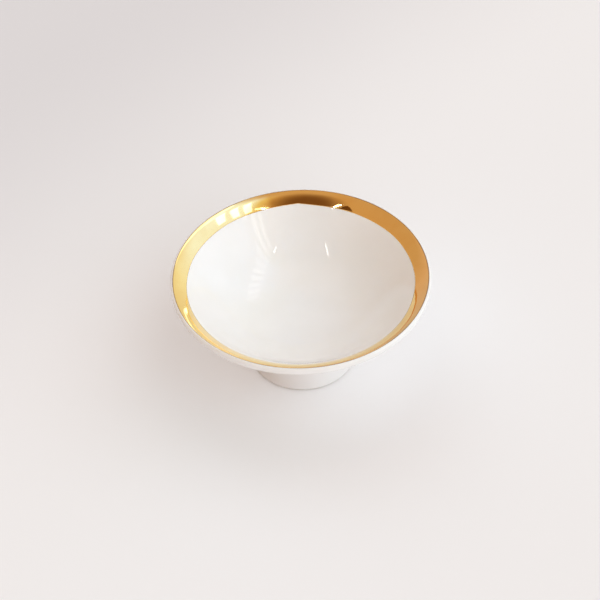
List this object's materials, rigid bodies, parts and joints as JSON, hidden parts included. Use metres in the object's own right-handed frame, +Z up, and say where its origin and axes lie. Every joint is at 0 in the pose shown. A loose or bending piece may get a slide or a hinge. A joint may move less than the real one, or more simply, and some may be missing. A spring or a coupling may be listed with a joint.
{
  "type": "footed porcelain bowl",
  "caption": "Open round porcelain bowl on a hollow pedestal foot, with a flared lip and a wide gold band inside the rim.",
  "frame": {"origin": "centre of the foot's resting plane, on the bowl's axis", "axes": "+Z up along the axis of the bowl; the bowl is round, so +X and +Y are any two directions square to it"},
  "size_m": [0.12, 0.12, 0.052],
  "materials": {
    "glazed_porcelain": "gloss",
    "foot_porcelain": "gloss",
    "fired_slip": "satin",
    "bright_gold": "polished"
  },
  "bodies": {
    "root": {"bowl_shell": "glazed_porcelain", "pedestal_foot": "foot_porcelain", "luting_slip": "fired_slip", "gold_band": "bright_gold"}
  },
  "joints": []
}
